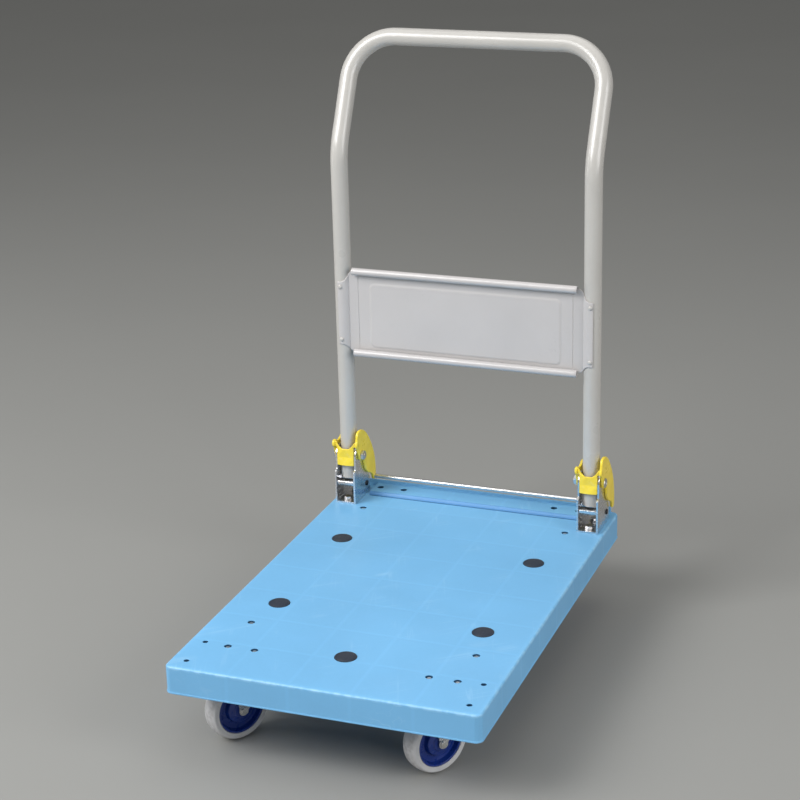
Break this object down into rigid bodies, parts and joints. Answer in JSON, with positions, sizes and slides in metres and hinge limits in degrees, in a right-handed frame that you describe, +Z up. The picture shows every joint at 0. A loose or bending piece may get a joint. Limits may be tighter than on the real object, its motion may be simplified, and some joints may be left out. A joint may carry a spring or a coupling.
{
  "type": "folding platform cart",
  "caption": "Flat moulded platform cart on casters, with a bent tube push handle that folds down over the deck when its foot pedals are pressed.",
  "frame": {"origin": "on the floor, under the middle of the cart's overall width and length, the handle included", "axes": "+Z up; the deck's front edge faces -Y and the handle stands at the +Y end; +X is the right side seen from the handle's back"},
  "size_m": [0.484, 0.7623, 0.9557],
  "materials": {
    "deck_plastic": "light blue moulded polypropylene with a fine texture",
    "pad_rubber": "matt black rubber",
    "handle_paint": "light grey satin powder coat on steel tube",
    "panel_paint": "light grey satin powder coat on sheet steel",
    "bracket_plating": "bright plated sheet steel",
    "zinc_plating": "bright zinc plating",
    "black_steel": "black oxide on steel",
    "pedal_plastic": "yellow moulded plastic, lightly glossy",
    "core_plastic": "deep blue moulded plastic",
    "tyre_elastomer": "light grey non-marking elastomer, matt"
  },
  "bodies": {
    "chassis": {"deck": "deck_plastic", "deck_pad_1": "pad_rubber", "deck_pad_2": "pad_rubber", "deck_pad_3": "pad_rubber", "deck_pad_4": "pad_rubber", "deck_pad_5": "pad_rubber", "bracket_left": "bracket_plating", "bracket_stop_bar_left": "bracket_plating", "bracket_bolt_left_front": "zinc_plating", "bracket_bolt_left_rear": "zinc_plating", "pivot_bolt_left": "zinc_plating", "pivot_nut_left": "zinc_plating", "latch_pin_left": "black_steel", "latch_spring_left": "zinc_plating", "caster_plate_front_left": "zinc_plating", "caster_plate_rear_left": "zinc_plating", "caster_fork_rear_left": "zinc_plating", "axle_bolt_rear_left": "zinc_plating", "axle_nut_rear_left": "zinc_plating", "bracket_right": "bracket_plating", "bracket_stop_bar_right": "bracket_plating", "bracket_bolt_right_front": "zinc_plating", "bracket_bolt_right_rear": "zinc_plating", "pivot_bolt_right": "zinc_plating", "pivot_nut_right": "zinc_plating", "latch_pin_right": "black_steel", "latch_spring_right": "zinc_plating", "caster_plate_front_right": "zinc_plating", "caster_plate_rear_right": "zinc_plating", "caster_fork_rear_right": "zinc_plating", "axle_bolt_rear_right": "zinc_plating", "axle_nut_rear_right": "zinc_plating"},
    "handle": {"handle_tube": "handle_paint", "handle_panel": "panel_paint", "panel_rivet_left_lower": "handle_paint", "panel_rivet_left_upper": "handle_paint", "panel_rivet_right_lower": "handle_paint", "panel_rivet_right_upper": "handle_paint"},
    "pedals": {"release_pedal_left": "pedal_plastic", "release_pedal_right": "pedal_plastic", "pedal_link_rod": "zinc_plating"},
    "latch_left": {"latch_pawl_left": "zinc_plating"},
    "latch_right": {"latch_pawl_right": "zinc_plating"},
    "swivel_left": {"caster_fork_front_left": "zinc_plating", "caster_race_front_left": "zinc_plating", "axle_bolt_front_left": "zinc_plating", "axle_nut_front_left": "zinc_plating"},
    "swivel_right": {"caster_fork_front_right": "zinc_plating", "caster_race_front_right": "zinc_plating", "axle_bolt_front_right": "zinc_plating", "axle_nut_front_right": "zinc_plating"},
    "wheel_front_left": {"wheel_core_front_left": "core_plastic", "wheel_tyre_front_left": "tyre_elastomer"},
    "wheel_front_right": {"wheel_core_front_right": "core_plastic", "wheel_tyre_front_right": "tyre_elastomer"},
    "wheel_rear_left": {"wheel_core_rear_left": "core_plastic", "wheel_tyre_rear_left": "tyre_elastomer"},
    "wheel_rear_right": {"wheel_core_rear_right": "core_plastic", "wheel_tyre_rear_right": "tyre_elastomer"}
  },
  "joints": [
    {"name": "handle_fold", "type": "hinge", "parent": "chassis", "child": "handle", "pos_m": [0, 0.28185, 0.238], "axis": [1, 0, 0], "range_deg": [0, 90]},
    {"name": "pedal_rock", "type": "hinge", "parent": "handle", "child": "pedals", "pos_m": [0, 0.28185, 0.238], "axis": [1, 0, 0], "range_deg": [-6, 0], "stiffness_Nm_per_rad": 2, "springref_deg": 11.46},
    {"name": "latch_left_release", "type": "hinge", "parent": "chassis", "child": "latch_left", "pos_m": [-0.2145, 0.31185, 0.174], "axis": [1, 0, 0], "range_deg": [-18, 0]},
    {"name": "latch_right_release", "type": "hinge", "parent": "chassis", "child": "latch_right", "pos_m": [0.2145, 0.31185, 0.174], "axis": [1, 0, 0], "range_deg": [-18, 0]},
    {"name": "swivel_front_left", "type": "hinge", "parent": "chassis", "child": "swivel_left", "pos_m": [-0.1575, -0.25315, 0.115], "axis": [0, 0, 1], "continuous": true},
    {"name": "swivel_front_right", "type": "hinge", "parent": "chassis", "child": "swivel_right", "pos_m": [0.1575, -0.25315, 0.115], "axis": [0, 0, 1], "continuous": true},
    {"name": "wheel_spin_front_left", "type": "hinge", "parent": "swivel_left", "child": "wheel_front_left", "pos_m": [-0.17656, -0.2825, 0.05], "axis": [0.8387, -0.5446, 0], "continuous": true},
    {"name": "wheel_spin_front_right", "type": "hinge", "parent": "swivel_right", "child": "wheel_front_right", "pos_m": [0.13844, -0.2825, 0.05], "axis": [0.8387, -0.5446, 0], "continuous": true},
    {"name": "wheel_spin_rear_left", "type": "hinge", "parent": "chassis", "child": "wheel_rear_left", "pos_m": [-0.1575, 0.29135, 0.05], "axis": [1, 0, 0], "continuous": true},
    {"name": "wheel_spin_rear_right", "type": "hinge", "parent": "chassis", "child": "wheel_rear_right", "pos_m": [0.1575, 0.29135, 0.05], "axis": [1, 0, 0], "continuous": true}
  ],
  "couplings": [
    {"joint": "latch_left_release", "follows": "pedal_rock", "ratio": 3},
    {"joint": "latch_right_release", "follows": "pedal_rock", "ratio": 3}
  ]
}
